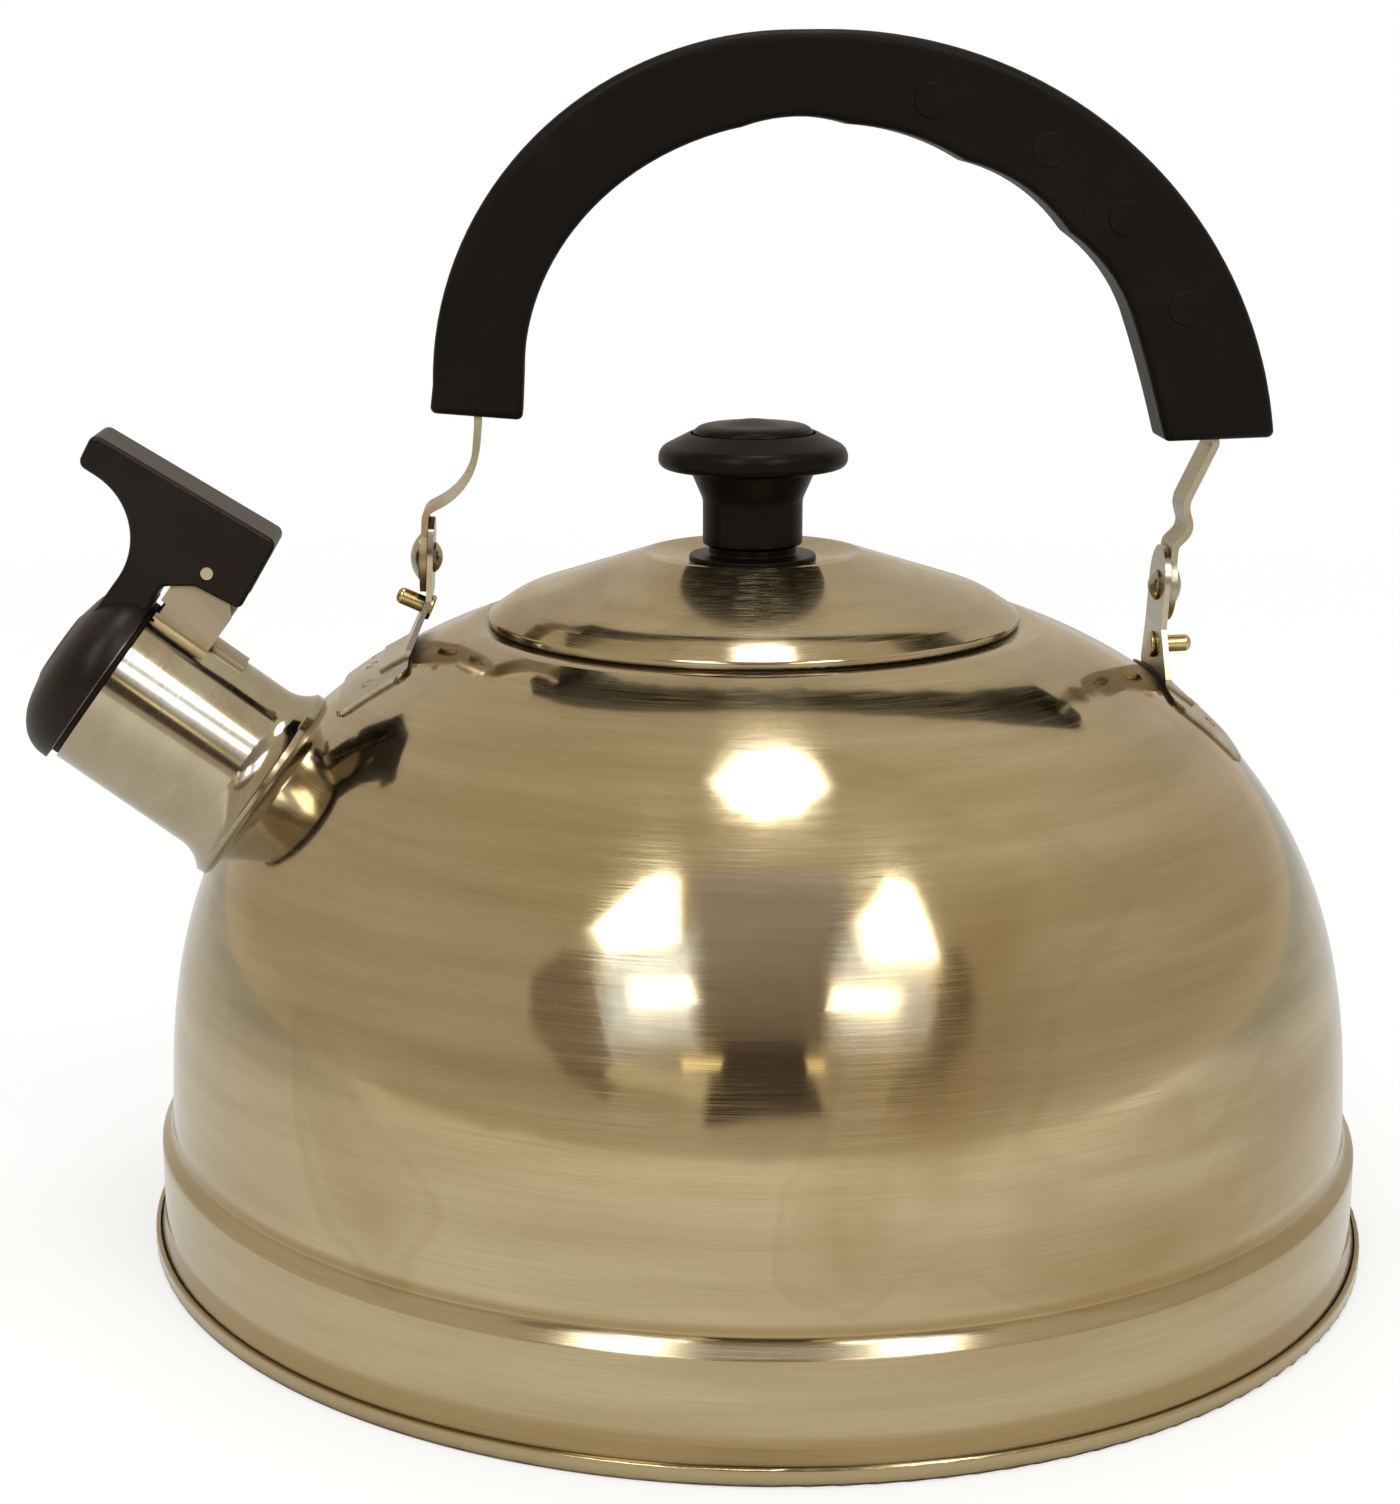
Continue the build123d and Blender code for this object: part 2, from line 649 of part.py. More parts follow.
with BuildPart() as handle_strap:
    with BuildSketch(Plane.XZ):
        make_face(strap_line().offset_2d(STRAP_T / 2, side=Side.BOTH).edges())
    extrude(amount=STRAP_W / 2, both=True)
    for side in ("left", "right"):
        eye_in = away(pivot[side], outward[side], EYE_OFFSET - STRAP_T / 2)
        eye_plane = Plane(origin=(eye_in[0], 0, eye_in[1]), z_dir=(outward[side][0], 0, outward[side][1]))
        with BuildSketch(eye_plane):
            Circle(EYE_R - STRAP_T / 2)
        extrude(amount=STRAP_T, both=True, mode=Mode.SUBTRACT)
        with BuildSketch(eye_plane):
            Circle(EYE_R)
        extrude(amount=STRAP_T)
        with BuildSketch(eye_plane):
            Circle(RIVET_R + FIT)
        extrude(amount=2 * STRAP_T, both=True, mode=Mode.SUBTRACT)


def pivot_rivet(side):
    """A domed rivet that holds the strap's eye to the tab and turns in the tab."""
    centre = pivot[side]
    plane = Plane(
        origin=(centre[0], 0, centre[1]), x_dir=(outward[side][0], 0, outward[side][1]), z_dir=(0, -1, 0)
    )
    head = EYE_OFFSET + STRAP_T / 2 + FIT
    tail = -TAB_T / 2 - PLAY
    with BuildPart() as rivet:
        with BuildSketch(plane):
            with BuildLine():
                Line((tail - TAIL_H, 0), (head + HEAD_H, 0))
                TangentArc((head + HEAD_H, 0), (head + 0.3, HEAD_R), tangent=(0, 1))
                Polyline(
                    (head + 0.3, HEAD_R),
                    (head, HEAD_R),
                    (head, RIVET_R),
                    (tail, RIVET_R),
                    (tail, TAIL_R),
                    (tail - 0.3, TAIL_R),
                )
                TangentArc((tail - TAIL_H, 0), (tail - 0.3, TAIL_R), tangent=(0, 1))
            make_face()
        revolve(axis=Axis(plane.origin, plane.x_dir))
    return rivet.part


# ---- grip ---------------------------------------------------------------------------
# Two mirrored mouldings meet in the handle's plane and close round the strap.
with BuildPart() as grip_front:
    with BuildSketch(Plane.XZ) as grip_outline:
        with BuildLine():
            outer_left = EllipticalCenterArc(GRIP_C1_OUT, *GRIP_OUTER_1, 180, arc_size=-90)
            right_turn = 90 - GRIP_END_ANGLE
            outer_right = EllipticalCenterArc(GRIP_C2, *GRIP_OUTER_2, GRIP_END_ANGLE, arc_size=right_turn)
            Line(outer_left @ 1, outer_right @ 1)
            inner_left = EllipticalCenterArc(GRIP_C1, *GRIP_INNER_1, 180, arc_size=-FIRST_CREST_ANGLE)
            crests = [inner_left @ 1] + [Vector(*crest) for crest in GRIP_CRESTS]
            for start, end, hollow in zip(crests, crests[1:], GRIP_HOLLOWS):
                SagittaArc(start, end, hollow)
            Line(crests[-1], outer_right @ 0)
            Polyline(inner_left @ 0, GRIP_LEFT_IN, GRIP_LEFT_OUT, outer_left @ 0)
        make_face()
        fillet([nearest_corner(grip_outline, crest) for crest in crests[1:-1]], CREST_R)
        bottoms = [GRIP_LEFT_IN, GRIP_LEFT_OUT, crests[-1], outer_right @ 0]
        fillet([nearest_corner(grip_outline, corner) for corner in bottoms], GRIP_CORNER)
    extrude(amount=GRIP_HALF_W)
    fillet(grip_front.faces().sort_by(Axis.Y)[0].edges(), GRIP_ROUND)
    with BuildSketch(Plane.XZ):
        make_face(strap_line().offset_2d(STRAP_T / 2 + CHANNEL_PLAY, side=Side.BOTH).edges())
    extrude(amount=STRAP_W / 2 + CHANNEL_PLAY, mode=Mode.SUBTRACT)
    with BuildSketch(Plane.XZ.offset(GRIP_HALF_W)):
        with Locations(*GRIP_PIPS):
            Circle(PIP_R)
    extrude(amount=PIP_H)
    fillet(grip_front.faces().sort_by(Axis.Y)[: len(GRIP_PIPS)].edges(), 0.3)

with BuildPart() as grip_back:
    mirror(grip_front.part, about=Plane.XZ)

# ---- lid ----------------------------------------------------------------------------
# A cone that steepens to a rolled rim, with a ridge round the dished seat of the knob.
lid_top = LID_DISH[1]
seat = LEDGE_Z + LID_GAP
with BuildPart() as lid_cover:
    with BuildSketch(Plane.XZ):
        with BuildLine():
            FilletPolyline(
                (LID_HOLE_R, lid_top),
                LID_DISH,
                LID_RIDGE,
                LID_BROW,
                (LID_R, LID_EDGE_Z),
                (LID_R, seat),
                (HEM_R, seat),
                (HEM_R, seat + LID_SHEET),
                (LID_R - LID_SHEET, seat + LID_SHEET),
                (LID_R - LID_SHEET, LID_EDGE_Z - 0.3),
                (LID_BROW[0], LID_BROW[1] - LID_SHEET),
                (LID_RIDGE[0], LID_RIDGE[1] - LID_SHEET),
                (LID_DISH[0], lid_top - LID_SHEET),
                (LID_HOLE_R, lid_top - LID_SHEET),
                radius=(0.05, 3.0, 2.2, 14.0, 0.7, 0.6, 0.2, 0.2, 0.05, 0.3, 14.0, 1.6, 2.6, 0.05),
                close=True,
            )
        make_face()
    revolve(axis=Axis.Z)

with BuildPart() as lid_skirt:
    with BuildSketch(Plane.XZ):
        with BuildLine():
            low = seat + LID_SHEET + FIT
            edge = LID_R - LID_SHEET - 0.1
            foot = LEDGE_Z - SKIRT_DEPTH
            FilletPolyline((edge, low), (SKIRT_R, low), (SKIRT_R, foot), radius=0.9)
            Line((SKIRT_R, foot), (SKIRT_R - SKIRT_T, foot))
            inside = SKIRT_R - SKIRT_T
            FilletPolyline((inside, foot), (inside, low + SKIRT_T), (edge, low + SKIRT_T), radius=1.4)
            Line((edge, low + SKIRT_T), (edge, low))
        make_face()
    revolve(axis=Axis.Z)

# ---- knob ---------------------------------------------------------------------------
# A straight stem on a thin collar, under a fat round rim with a button set into its top.
with BuildPart() as knob:
    with BuildSketch(Plane.XZ):
        with BuildLine():
            base = lid_top + FIT
            well = INSERT_R + INSERT_GROOVE
            FilletPolyline(
                (SCREW_R + FIT, base),
                (COLLAR_R, base),
                (COLLAR_R, base + COLLAR_T),
                (FOOT_R, base + COLLAR_T + 0.2),
                (FOOT_R, STEM_FOOT),
                (STEM_R, STEM_FOOT + 0.4),
                (STEM_R, KNOB_WAIST),
                (STEM_R + 2.2, KNOB_UNDER - 0.5),
                (KNOB_R, KNOB_UNDER + 0.2),
                (KNOB_R, KNOB_BROW),
                (well, KNOB_TOP),
                (well, KNOB_TOP - WELL_DEPTH),
                (INSERT_R + FIT, KNOB_TOP - WELL_DEPTH),
                (INSERT_R + FIT, INSERT_SEAT),
                (SCREW_R + FIT, INSERT_SEAT),
                radius=(0.1, 0.2, 0.3, 0.3, 0.2, 0.5, 3.0, 0.8, 1.5, 2.5, 0.3, 0.1, 0.1, 0.1, 0.1),
                close=True,
            )
        make_face()
    revolve(axis=Axis.Z)

with BuildPart() as knob_insert:
    with BuildSketch(Plane.XZ):
        with BuildLine():
            edge = KNOB_TOP - 0.1
            under = INSERT_SEAT + FIT
            Polyline(
                (0, INSERT_CROWN),
                (0, under + SCREW_ROOM),
                (INSERT_R - INSERT_LAND, under + SCREW_ROOM),
                (INSERT_R - INSERT_LAND, under),
                (INSERT_R - 0.3, under),
                (INSERT_R, under + 0.3),
                (INSERT_R, edge),
            )
            Spline(
                (INSERT_R, edge),
                (INSERT_R * 0.62, INSERT_CROWN - 0.8),
                (0, INSERT_CROWN),
                tangents=[(-0.4, 1), (-1, 0)],
            )
        make_face()
    revolve(axis=Axis.Z)

washer_top = lid_top - LID_SHEET - FIT
with BuildPart() as knob_washer:
    with BuildSketch(Plane.XY.offset(washer_top)):
        Circle(WASHER_R)
        Circle(SCREW_R + FIT, mode=Mode.SUBTRACT)
    extrude(amount=-WASHER_T)

with BuildPart() as knob_screw:
    with BuildSketch(Plane.XZ):
        with BuildLine():
            under = washer_top - WASHER_T - FIT
            bottom = under - SCREW_HEAD_H
            Polyline(
                (0, bottom),
                (0, INSERT_SEAT - 0.5),
                (SCREW_R, INSERT_SEAT - 0.5),
                (SCREW_R, under),
                (SCREW_HEAD_R, under),
                (SCREW_HEAD_R, bottom + 0.9),
            )
            TangentArc((0, bottom), (SCREW_HEAD_R, bottom + 0.9), tangent=(1, 0))
        make_face()
    revolve(axis=Axis.Z)
    with BuildSketch(Plane.XY.offset(bottom)):
        Rectangle(SCREW_SLOT * 4, SCREW_SLOT)
        Rectangle(SCREW_SLOT, SCREW_SLOT * 4)
    extrude(amount=1.2, mode=Mode.SUBTRACT)

# ---- files --------------------------------------------------------------------------
pieces = {
    "base_pan": base_pan.part,
    "body_shell": body_shell.part,
    "spout_tube": spout_tube.part,
    "whistle_bracket": whistle_bracket.part,
    "whistle_lever": whistle_lever.part,
    "lever_pin": lever_pin.part,
    "lever_spring": lever_spring.part,
    "whistle_plate": whistle_plate.part,
    "whistle_cup": whistle_cup.part,
    "whistle_seal": whistle_seal.part,
    "handle_strap": handle_strap.part,
    "grip_front": grip_front.part,
    "grip_back": grip_back.part,
    "lid_cover": lid_cover.part,
    "lid_skirt": lid_skirt.part,
    "knob": knob.part,
    "knob_insert": knob_insert.part,
    "knob_washer": knob_washer.part,
    "knob_screw": knob_screw.part,
}
for side in ("left", "right"):
    pieces[f"handle_bracket_{side}"] = handle_bracket(side)
    pieces[f"stop_pin_{side}"] = stop_pin(side)
    pieces[f"pivot_rivet_{side}"] = pivot_rivet(side)

os.makedirs("parts", exist_ok=True)
for name, piece in pieces.items():
    piece.label = name
    export_step(piece, f"parts/{name}.step")
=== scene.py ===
import bmesh
import bpy
import math
from mathutils import Euler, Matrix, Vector
from mathutils.bvhtree import BVHTree


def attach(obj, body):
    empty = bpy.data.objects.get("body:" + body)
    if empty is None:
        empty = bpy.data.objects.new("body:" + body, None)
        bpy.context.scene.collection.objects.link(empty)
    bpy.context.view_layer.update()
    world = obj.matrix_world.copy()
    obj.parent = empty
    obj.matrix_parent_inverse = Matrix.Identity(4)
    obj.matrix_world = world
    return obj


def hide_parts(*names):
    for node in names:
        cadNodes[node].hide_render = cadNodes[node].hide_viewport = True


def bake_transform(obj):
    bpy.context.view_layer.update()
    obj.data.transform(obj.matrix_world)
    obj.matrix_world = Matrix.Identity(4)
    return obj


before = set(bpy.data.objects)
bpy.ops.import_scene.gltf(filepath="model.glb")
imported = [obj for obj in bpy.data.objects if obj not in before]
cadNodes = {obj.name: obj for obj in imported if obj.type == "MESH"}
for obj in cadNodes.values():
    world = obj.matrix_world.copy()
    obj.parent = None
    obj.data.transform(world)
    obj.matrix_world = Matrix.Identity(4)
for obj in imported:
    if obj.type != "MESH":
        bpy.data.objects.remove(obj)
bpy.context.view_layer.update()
print("kettle frame loaded,", len(cadNodes), "pieces")

sceneNow = bpy.context.scene
sceneNow.view_settings.view_transform = "Standard"


# small helpers for node trees
def putNode(tree, kind, inputs=None, **settings):
    node = tree.nodes.new(kind)
    for name, value in settings.items():
        setattr(node, name, value)
    for name, value in (inputs or {}).items():
        node.inputs[name].default_value = value
    return node


# a number or a colour is set on the socket, and another node's output is linked to it
def feed(tree, socket, value):
    if isinstance(value, (int, float)):
        socket.default_value = value
    elif isinstance(value, tuple):
        socket.default_value = (*value, 1)
    else:
        tree.links.new(value, socket)


def mathNode(tree, operation, first, second=None):
    node = putNode(tree, "ShaderNodeMath", operation=operation)
    feed(tree, node.inputs[0], first)
    if second is not None:
        feed(tree, node.inputs[1], second)
    return node.outputs[0]


def plus(tree, first, second):
    return mathNode(tree, "ADD", first, second)


def minus(tree, first, second):
    return mathNode(tree, "SUBTRACT", first, second)


def times(tree, first, second):
    return mathNode(tree, "MULTIPLY", first, second)


def divided(tree, first, second):
    return mathNode(tree, "DIVIDE", first, second)


def clampNode(tree, value):
    return mathNode(tree, "MINIMUM", mathNode(tree, "MAXIMUM", value, 0.0), 1.0)


def splitNode(tree, coords):
    node = putNode(tree, "ShaderNodeSeparateXYZ")
    feed(tree, node.inputs[0], coords)
    return node.outputs


def noiseNode(tree, coords, scale, detail, roughness, distortion=0.0):
    node = putNode(tree, "ShaderNodeTexNoise",
                   {"Detail": detail, "Roughness": roughness, "Distortion": distortion})
    feed(tree, node.inputs["Vector"], coords)
    feed(tree, node.inputs["Scale"], scale)
    return node.outputs[0]


def rampNode(tree, source, stops):
    node = putNode(tree, "ShaderNodeValToRGB")
    while len(node.color_ramp.elements) < len(stops):
        node.color_ramp.elements.new(0.5)
    for element, (place, value) in zip(node.color_ramp.elements, stops):
        element.position = place
        element.color = (*value, 1) if isinstance(value, tuple) else (value, value, value, 1)
    feed(tree, node.inputs["Fac"], source)
    return node.outputs["Color"]


def mixColor(tree, share, first, second, blend="MIX"):
    node = putNode(tree, "ShaderNodeMix", data_type="RGBA", blend_type=blend)
    shareSocket, firstSocket, secondSocket = node.inputs[0], node.inputs[6], node.inputs[7]
    for socket, value in ((shareSocket, share), (firstSocket, first), (secondSocket, second)):
        feed(tree, socket, value)
    return node.outputs[2]


def mixShaders(tree, share, first, second):
    node = putNode(tree, "ShaderNodeMixShader")
    for socket, value in zip(node.inputs, (share, first, second)):
        feed(tree, socket, value)
    feed(tree, tree.nodes["Material Output"].inputs[0], node.outputs[0])


# a shader group that reads coordinates and some numbers, and puts out masks
def newGroup(name, numbers, masks):
    group = bpy.data.node_groups.new(name, "ShaderNodeTree")
    group.interface.new_socket("Coords", in_out="INPUT", socket_type="NodeSocketVector")
    for label, value in numbers.items():
        socket = group.interface.new_socket(label, in_out="INPUT", socket_type="NodeSocketFloat")
        socket.default_value = value
    for label in masks:
        group.interface.new_socket(label, in_out="OUTPUT", socket_type="NodeSocketFloat")
    given, result = group.nodes.new("NodeGroupInput"), group.nodes.new("NodeGroupOutput")
    return group, given.outputs, result.inputs


def placeGroup(tree, group, coords, **values):
    node = putNode(tree, "ShaderNodeGroup", values, node_tree=group)
    feed(tree, node.inputs["Coords"], coords)
    return node.outputs


# fine polishing lines that run round the Z axis, the haze among them, and broader bands.
# Each has the input that its fineness comes from, how much finer it is than that, how
# often it breaks up on its way round, and the detail of its noise.
spunLook = {
    "Lines": {"fineness": "Fineness", "finer": 1.0, "breaks": 1.0, "detail": 4.0},
    "Haze": {"fineness": "Fineness", "finer": 7.0, "breaks": 1.0, "detail": 1.0},
    "Bands": {"fineness": "Band Scale", "finer": 1.0, "breaks": 0.2, "detail": 2.5},
}
spunRoughness = 0.6
spunHub = 0.0005    # inside this radius the lines no longer run round the axis


def makeSpunLines(look):
    group, given, result = newGroup(
        "spunLines", {"Fineness": 2600.0, "Band Scale": 90.0, "Run": 5.0}, look)
    x, y, z = splitNode(group, given["Coords"])
    radius = mathNode(group, "SQRT", plus(group, times(group, x, x), times(group, y, y)))
    safe = mathNode(group, "MAXIMUM", radius, spunHub)
    along = minus(group, z, radius)
    for label, pattern in look.items():
        run = times(group, given["Run"], pattern["breaks"])
        around = [times(group, divided(group, part, safe), run) for part in (x, y)]
        height = times(group, times(group, along, given[pattern["fineness"]]), pattern["finer"])
        place = putNode(group, "ShaderNodeCombineXYZ")
        for socket, value in zip(place.inputs, (*around, height)):
            feed(group, socket, value)
        noise = noiseNode(group, place.outputs[0], 1.0, pattern["detail"], spunRoughness)
        feed(group, result[label], noise)
    return group


# dull patches left by water and fingers, each with a darker rim where a drop dried
waterLook = {
    "detail": 3.0, "roughness": 0.45, "distortion": 0.6,
    "patchEdge": 8.0, "rimEdge": 55.0,      # how sharply a patch and its rim end
}


def makeWaterMarks(look):
    group, given, result = newGroup(
        "waterMarks", {"Scale": 14.0, "Cover": 0.5}, ("Patches", "Rims"))
    blotch = noiseNode(group, given["Coords"], given["Scale"], look["detail"], look["roughness"],
                       look["distortion"])
    edge = minus(group, blotch, given["Cover"])
    feed(group, result["Patches"], clampNode(group, times(group, edge, look["patchEdge"])))
    fromEdge = times(group, mathNode(group, "ABSOLUTE", edge), look["rimEdge"])
    feed(group, result["Rims"], clampNode(group, minus(group, 1.0, fromEdge)))
    return group


# slanting hairline scratches in two directions
hairlineLook = {
    "slants": ((0.45, 3.0), (-0.6, 8.0)),   # turn about Y, and a shift that sets them apart
    "squeeze": 0.045,                       # the smaller, the longer the scratches
    "detail": 2.0, "roughness": 0.7,
    "least": 0.58, "depth": 5.0,            # where the noise turns into a scratch, and how deep
}


def makeHairlines(look):
    group, given, result = newGroup("hairlines", {"Fineness": 900.0}, ("Scratches",))
    total = None
    for turn, shift in look["slants"]:
        mapping = putNode(group, "ShaderNodeMapping", {
            "Location": (shift, 0.0, 0.0), "Rotation": (0.0, turn, 0.0),
            "Scale": (1.0, 1.0, look["squeeze"])})
        feed(group, mapping.inputs["Vector"], given["Coords"])
        noise = noiseNode(group, mapping.outputs[0], given["Fineness"], look["detail"],
                          look["roughness"])
        over = mathNode(group, "MAXIMUM", minus(group, noise, look["least"]), 0.0)
        lines = times(group, over, look["depth"])
        total = lines if total is None else plus(group, total, lines)
    feed(group, result["Scratches"], total)
    return group


# worn edges, from how far a rounded normal leaves the true one
wearLook = {
    "samples": 6,
    "flat": 0.985, "gain": 6.0,             # how far the normals agree on an unworn face
    "detail": 3.0, "roughness": 0.65,
    "least": 0.36, "contrast": 4.0,         # specks of noise that break the wear up
}


def makeEdgeWear(look):
    group, given, result = newGroup("edgeWear", {"Radius": 0.0006, "Breakup": 240.0}, ("Worn",))
    rounded = putNode(group, "ShaderNodeBevel", samples=look["samples"])
    feed(group, rounded.inputs["Radius"], given["Radius"])
    surface = putNode(group, "ShaderNodeNewGeometry")
    agree = putNode(group, "ShaderNodeVectorMath", operation="DOT_PRODUCT")
    feed(group, agree.inputs[0], rounded.outputs[0])
    feed(group, agree.inputs[1], surface.outputs["Normal"])
    bend = times(group, minus(group, look["flat"], agree.outputs["Value"]), look["gain"])
    speck = noiseNode(group, given["Coords"], given["Breakup"], look["detail"], look["roughness"])
    broken = times(group, minus(group, speck, look["least"]), look["contrast"])
    feed(group, result["Worn"], times(group, clampNode(group, bend), clampNode(group, broken)))
    return group


# painted shade: the colour darkens where surfaces meet, from ambient occlusion, made uneven by
# noise
creaseShadingLook = {
    "samples": 8,
    "open": 0.82, "gain": 1.9,              # how much sky an unshaded spot sees at least
    "scale": 190.0, "detail": 3.0, "roughness": 0.6,
    "swing": 1.1, "least": 0.5,             # noise that makes the painted shade uneven
}


def makeCreaseShading(look):
    group, given, result = newGroup("seamGrime", {"Reach": 0.004}, ("Grime",))
    corner = putNode(group, "ShaderNodeAmbientOcclusion", samples=look["samples"])
    feed(group, corner.inputs["Distance"], given["Reach"])
    closed = minus(group, look["open"], corner.outputs["AO"])
    speck = noiseNode(group, given["Coords"], look["scale"], look["detail"], look["roughness"])
    uneven = plus(group, times(group, speck, look["swing"]), look["least"])
    paintedShade = times(group, times(group, closed, look["gain"]), uneven)
    feed(group, result["Grime"], clampNode(group, paintedShade))
    return group


# a ring of the surface between two heights, soft at both edges
def makeHeightRing():
    group, given, result = newGroup(
        "heightRing", {"From": 0.0, "To": 0.01, "Soft": 0.0012}, ("Ring",))
    height = splitNode(group, given["Coords"])["Z"]
    over = divided(group, minus(group, height, given["From"]), given["Soft"])
    under = divided(group, minus(group, given["To"], height), given["Soft"])
    feed(group, result["Ring"], clampNode(group, mathNode(group, "MINIMUM", over, under)))
    return group


spunLines = makeSpunLines(spunLook)
waterMarks = makeWaterMarks(waterLook)
hairlines = makeHairlines(hairlineLook)
edgeWear = makeEdgeWear(wearLook)
seamGrime = makeCreaseShading(creaseShadingLook)
heightRing = makeHeightRing()
print("surface effects built")

# polished steel; each finish below changes some of these
steelLook = {
    "base": (0.385, 0.302, 0.166),
    "light": (0.47, 0.382, 0.232),
    # the stain colour serves water stains, and painted shade in the shell's hollow
    "stainAndShade": (0.31, 0.215, 0.098),
    # painted shade: the dark colour laid where surfaces meet
    "paintedShade": (0.07, 0.045, 0.025),
    "bands": (0.36, 0.66),          # where the bands pass from the base colour to the light one
    "polished": 0.055,              # roughness of the polish, and of the haze left in it
    "brushed": 0.23,
    "haze": (0.48, 0.70),           # where the noise passes from polish to haze
    "streak": 0.92,                 # how far highlights are drawn out across the polish
    "streakTurn": 0.25,
    "lines": 4200.0,
    "lineShades": ((0.3, 0.86), (0.7, 1.07)),
    "lineShare": 0.6,
    "bump": 0.0005,
    "bumpReach": 0.0004,
    "scratches": 0.5,               # height of the scratches beside that of the lines
    "marks": 14.0,
    "cover": 0.56,
    "patchStain": 0.8,
    "rimStain": 0.25,
    "patchDull": 0.05,              # roughness that water marks and the painted-shade mask add
    "creaseDull": 0.3,
    "seam": 0.004,
    "rings": (),                    # (from, to, added roughness, share of the stain colour) of each ring of heights
    "axis": None,                   # foot and lean of a slanting axis that the polish runs round
}
steels = {
    # the shoulder is rubbed, painted shade: a brown line is painted in the hollow over it, and the
    # colour is browner near the rim
    "shellSteel": {"rings": ((0.0176, 0.0222, 0.16, 0.0), (0.0216, 0.0246, 0.0, 0.8),
                             (-0.001, 0.0075, 0.05, 0.75))},
    "lidSteel": {"polished": 0.075, "brushed": 0.3, "marks": 26.0, "cover": 0.54},
    "panSteel": {"polished": 0.16, "seam": 0.003},
    "spoutSteel": {"base": (0.355, 0.295, 0.19), "light": (0.41, 0.355, 0.255), "polished": 0.08,
                   "brushed": 0.2, "streak": 0.0, "marks": 30.0, "seam": 0.002,
                   "axis": ((-0.08845, 0.0, 0.0812), 53.5)},
    "plainSteel": {"base": (0.36, 0.30, 0.2), "light": (0.45, 0.39, 0.29), "polished": 0.18,
                   "streak": 0.0, "seam": 0.0015, "marks": 60.0},
    "bracketSteel": {"base": (0.25, 0.195, 0.118), "light": (0.34, 0.28, 0.19), "polished": 0.24,
                     "brushed": 0.4, "streak": 0.0, "seam": 0.0015, "marks": 90.0},
    "strapSteel": {"base": (0.31, 0.26, 0.17), "light": (0.40, 0.35, 0.25), "polished": 0.28,
                   "brushed": 0.4, "streak": 0.0, "seam": 0.0015, "marks": 70.0},
    "brass": {"base": (0.44, 0.32, 0.14), "light": (0.53, 0.40, 0.19),
              "stainAndShade": (0.3, 0.18, 0.06), "polished": 0.22, "streak": 0.0, "seam": 0.001,
              "marks": 90.0},
}
# black moulding; each finish below changes some of these
plasticLook = {
    "base": (0.0062, 0.0043, 0.0036),
    "worn": (0.045, 0.030, 0.021),
    "roughness": 0.36,
    "uneven": (-0.06, 0.14),        # least added roughness, and how much more the clouds add
    "clouds": 55.0,
    "dust": ((0.48, 0.0), (0.8, 0.22)),
    "detail": 3.0,
    "noiseRoughness": 0.6,
    "grain": 900.0,
    "bump": 0.10,
    "bumpReach": 0.0003,
    "specular": 0.17,
    "sheen": (1.0, 0.86, 0.73),
    "edge": 0.0006,
    "edgeWear": 0.5,
}
plastics = {
    "blackPlastic": {},
    "knobPlastic": {"base": (0.0048, 0.0034, 0.0026), "roughness": 0.33, "specular": 0.08},
    "gripPlastic": {"base": (0.0042, 0.0030, 0.0026), "worn": (0.03, 0.021, 0.016),
                    "roughness": 0.42, "specular": 0.09},
    "sealRubber": {"roughness": 0.6},
}
# the finish of each piece; the others are plain steel
finishOf = {
    "body_shell": "shellSteel", "base_pan": "panSteel", "spout_tube": "spoutSteel",
    "lid_cover": "lidSteel", "handle_strap": "strapSteel", "whistle_bracket": "bracketSteel",
    "stop_pin_left": "brass", "stop_pin_right": "brass",
    "knob": "knobPlastic", "knob_insert": "knobPlastic",
    "grip_front": "gripPlastic", "grip_back": "gripPlastic",
    "whistle_lever": "blackPlastic", "whistle_seal": "sealRubber",
}


def startMaterial(name):
    material = bpy.data.materials.new(name)
    material.use_nodes = True
    tree = material.node_tree
    coords = putNode(tree, "ShaderNodeTexCoord").outputs["Object"]
    return material, tree, tree.nodes["Principled BSDF"].inputs, coords


def addBump(tree, shader, look, height):
    bump = putNode(tree, "ShaderNodeBump",
                   {"Strength": look["bump"], "Distance": look["bumpReach"]})
    feed(tree, bump.inputs["Height"], height)
    feed(tree, shader["Normal"], bump.outputs[0])


